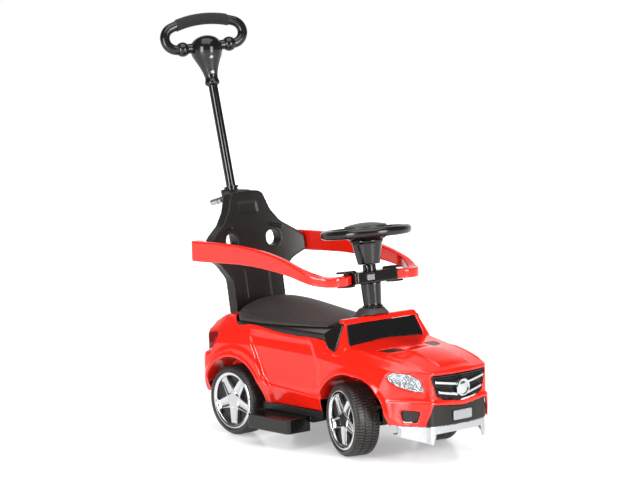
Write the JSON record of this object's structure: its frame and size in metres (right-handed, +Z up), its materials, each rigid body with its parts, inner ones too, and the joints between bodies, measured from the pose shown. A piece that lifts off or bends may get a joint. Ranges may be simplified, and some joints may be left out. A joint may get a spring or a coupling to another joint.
{
  "type": "push car with handle",
  "caption": "Ride-on toy car with storage seat, backrest, swing-out guard rails, working steering, sliding footrests and a parent's push handle.",
  "frame": {"origin": "on the ground under the middle of the bounding box", "axes": "+X forward, +Y to the car's left, +Z up"},
  "size_m": [0.878, 0.372, 0.9386],
  "materials": {
    "red_plastic": "glossy moulded red",
    "black_plastic": "satin moulded black",
    "grey_plastic": "satin dark grey",
    "seat_plastic": "fine-grained warm black",
    "tyre_plastic": "matt moulded tyre",
    "chrome_plating": "chrome-plated plastic",
    "silver_plastic": "silver painted plastic",
    "dark_glazing": "polished black plastic",
    "clear_lens": "clear moulded lens",
    "red_lens": "translucent dark red",
    "plate_plastic": "blank pale plate",
    "button_plastic": "satin grey",
    "foam": "soft foam sleeve",
    "tube_steel": "black enamelled steel",
    "bright_steel": "zinc-plated steel"
  },
  "bodies": {
    "car": {"body_shell": "red_plastic", "floor_pan": "black_plastic", "cockpit_deck": "black_plastic", "dash_cowl": "grey_plastic", "windscreen": "dark_glazing", "hood_vents": "black_plastic", "grille_insert": "black_plastic", "grille_bars": "chrome_plating", "badge_disc": "chrome_plating", "headlight_lenses": "clear_lens", "headlight_reflectors": "chrome_plating", "lower_intake": "black_plastic", "corner_intakes": "black_plastic", "number_plate": "plate_plastic", "skid_plate": "silver_plastic", "tail_lamps": "red_lens", "side_trims": "black_plastic", "seat_hinge_pin": "bright_steel", "backrest": "black_plastic", "column_housing": "black_plastic", "rail_bracket": "black_plastic", "rail_pins": "bright_steel", "front_beam": "black_plastic", "king_pins": "bright_steel", "beam_screws": "bright_steel", "rear_axle": "bright_steel", "cap_nuts_rear": "bright_steel"},
    "seat": {"seat_lid": "seat_plastic"},
    "tube_bush": {"tube_bush": "black_plastic"},
    "push_handle": {"push_tube": "tube_steel", "handle_hub_front": "black_plastic", "handle_hub_rear": "black_plastic", "handle_ring": "black_plastic", "foam_grip": "foam", "handle_balls": "black_plastic", "hub_screws": "bright_steel"},
    "clamp_screw": {"clamp_screw": "bright_steel"},
    "rail_left": {"guard_rail_left": "red_plastic"},
    "rail_right": {"guard_rail_right": "red_plastic"},
    "release_button": {"release_button": "button_plastic"},
    "steering": {"steering_shaft": "bright_steel", "sound_box": "black_plastic", "steering_wheel": "black_plastic"},
    "horn_pad": {"horn_pad": "grey_plastic"},
    "knuckle_left": {"knuckle_left": "black_plastic", "stub_axle_left": "bright_steel"},
    "knuckle_right": {"knuckle_right": "black_plastic", "stub_axle_right": "bright_steel"},
    "tie_rod": {"tie_rod": "black_plastic"},
    "footrest_left": {"footrest_left": "black_plastic"},
    "footrest_right": {"footrest_right": "black_plastic"},
    "wheel_front_left": {"tyre_front_left": "tyre_plastic", "wheel_cover_front_left": "chrome_plating"},
    "wheel_front_right": {"tyre_front_right": "tyre_plastic", "wheel_cover_front_right": "chrome_plating"},
    "wheel_rear_left": {"tyre_rear_left": "tyre_plastic", "wheel_cover_rear_left": "chrome_plating"},
    "wheel_rear_right": {"tyre_rear_right": "tyre_plastic", "wheel_cover_rear_right": "chrome_plating"}
  },
  "joints": [
    {"name": "steering_turn", "type": "hinge", "parent": "car", "child": "steering", "pos_m": [0.16645, 0, 0.299], "axis": [-0.0976, 0, 0.9952], "range_deg": [-9, 41]},
    {"name": "knuckle_left_turn", "type": "hinge", "parent": "car", "child": "knuckle_left", "pos_m": [0.22595, 0.102, 0.078], "axis": [0, 0, 1], "range_deg": [-9, 41]},
    {"name": "knuckle_right_turn", "type": "hinge", "parent": "car", "child": "knuckle_right", "pos_m": [0.22595, -0.102, 0.078], "axis": [0, 0, 1], "range_deg": [-9, 41]},
    {"name": "tie_rod_swing", "type": "hinge", "parent": "knuckle_right", "child": "tie_rod", "pos_m": [0.19327, -0.09263, 0.0615], "axis": [0, 0, 1], "range_deg": [-41, 9]},
    {"name": "wheel_front_left_spin", "type": "hinge", "parent": "knuckle_left", "child": "wheel_front_left", "pos_m": [0.23009, 0.11642, 0.078], "axis": [0.2756, 0.9613, 0], "continuous": true},
    {"name": "wheel_rear_left_spin", "type": "hinge", "parent": "car", "child": "wheel_rear_left", "pos_m": [-0.15105, 0.117, 0.078], "axis": [0, 1, 0], "continuous": true},
    {"name": "wheel_front_right_spin", "type": "hinge", "parent": "knuckle_right", "child": "wheel_front_right", "pos_m": [0.22182, -0.11642, 0.078], "axis": [0.2756, 0.9613, 0], "continuous": true},
    {"name": "wheel_rear_right_spin", "type": "hinge", "parent": "car", "child": "wheel_rear_right", "pos_m": [-0.15105, -0.117, 0.078], "axis": [0, 1, 0], "continuous": true},
    {"name": "seat_lid_hinge", "type": "hinge", "parent": "car", "child": "seat", "pos_m": [0.10345, 0, 0.259], "axis": [0, 1, 0], "range_deg": [0, 50]},
    {"name": "rail_left_swing", "type": "hinge", "parent": "car", "child": "rail_left", "pos_m": [-0.25455, 0.143, 0.406], "axis": [0, 0, 1], "range_deg": [0, 75]},
    {"name": "rail_right_swing", "type": "hinge", "parent": "car", "child": "rail_right", "pos_m": [-0.25455, -0.143, 0.406], "axis": [0, 0, -1], "range_deg": [0, 75]},
    {"name": "release_button_press", "type": "slide", "parent": "car", "child": "release_button", "axis": [-0.9952, 0, -0.0976], "range_m": [0, 0.002], "stiffness_N_per_m": 600, "springref_m": -0.002},
    {"name": "horn_pad_press", "type": "slide", "parent": "steering", "child": "horn_pad", "axis": [0.0976, 0, -0.9952], "range_m": [0, 0.003], "stiffness_N_per_m": 1200, "springref_m": -0.002},
    {"name": "handle_twist", "type": "hinge", "parent": "car", "child": "tube_bush", "pos_m": [-0.30555, 0, 0.531], "axis": [-0.2317, 0, 0.9728], "continuous": true},
    {"name": "handle_height", "type": "slide", "parent": "tube_bush", "child": "push_handle", "axis": [-0.2317, 0, 0.9728], "range_m": [0, 0.12]},
    {"name": "clamp_screw_turn", "type": "hinge", "parent": "car", "child": "clamp_screw", "pos_m": [-0.30207, 0, 0.51641], "axis": [-0.9728, 0, -0.2317], "continuous": true},
    {"name": "footrest_left_slide", "type": "slide", "parent": "car", "child": "footrest_left", "axis": [0, -1, 0], "range_m": [0, 0.056]},
    {"name": "footrest_right_slide", "type": "slide", "parent": "car", "child": "footrest_right", "axis": [0, 1, 0], "range_m": [0, 0.056]}
  ],
  "couplings": [
    {"joint": "knuckle_left_turn", "follows": "steering_turn", "ratio": 1},
    {"joint": "knuckle_right_turn", "follows": "steering_turn", "ratio": 1},
    {"joint": "tie_rod_swing", "follows": "steering_turn", "ratio": -1}
  ]
}
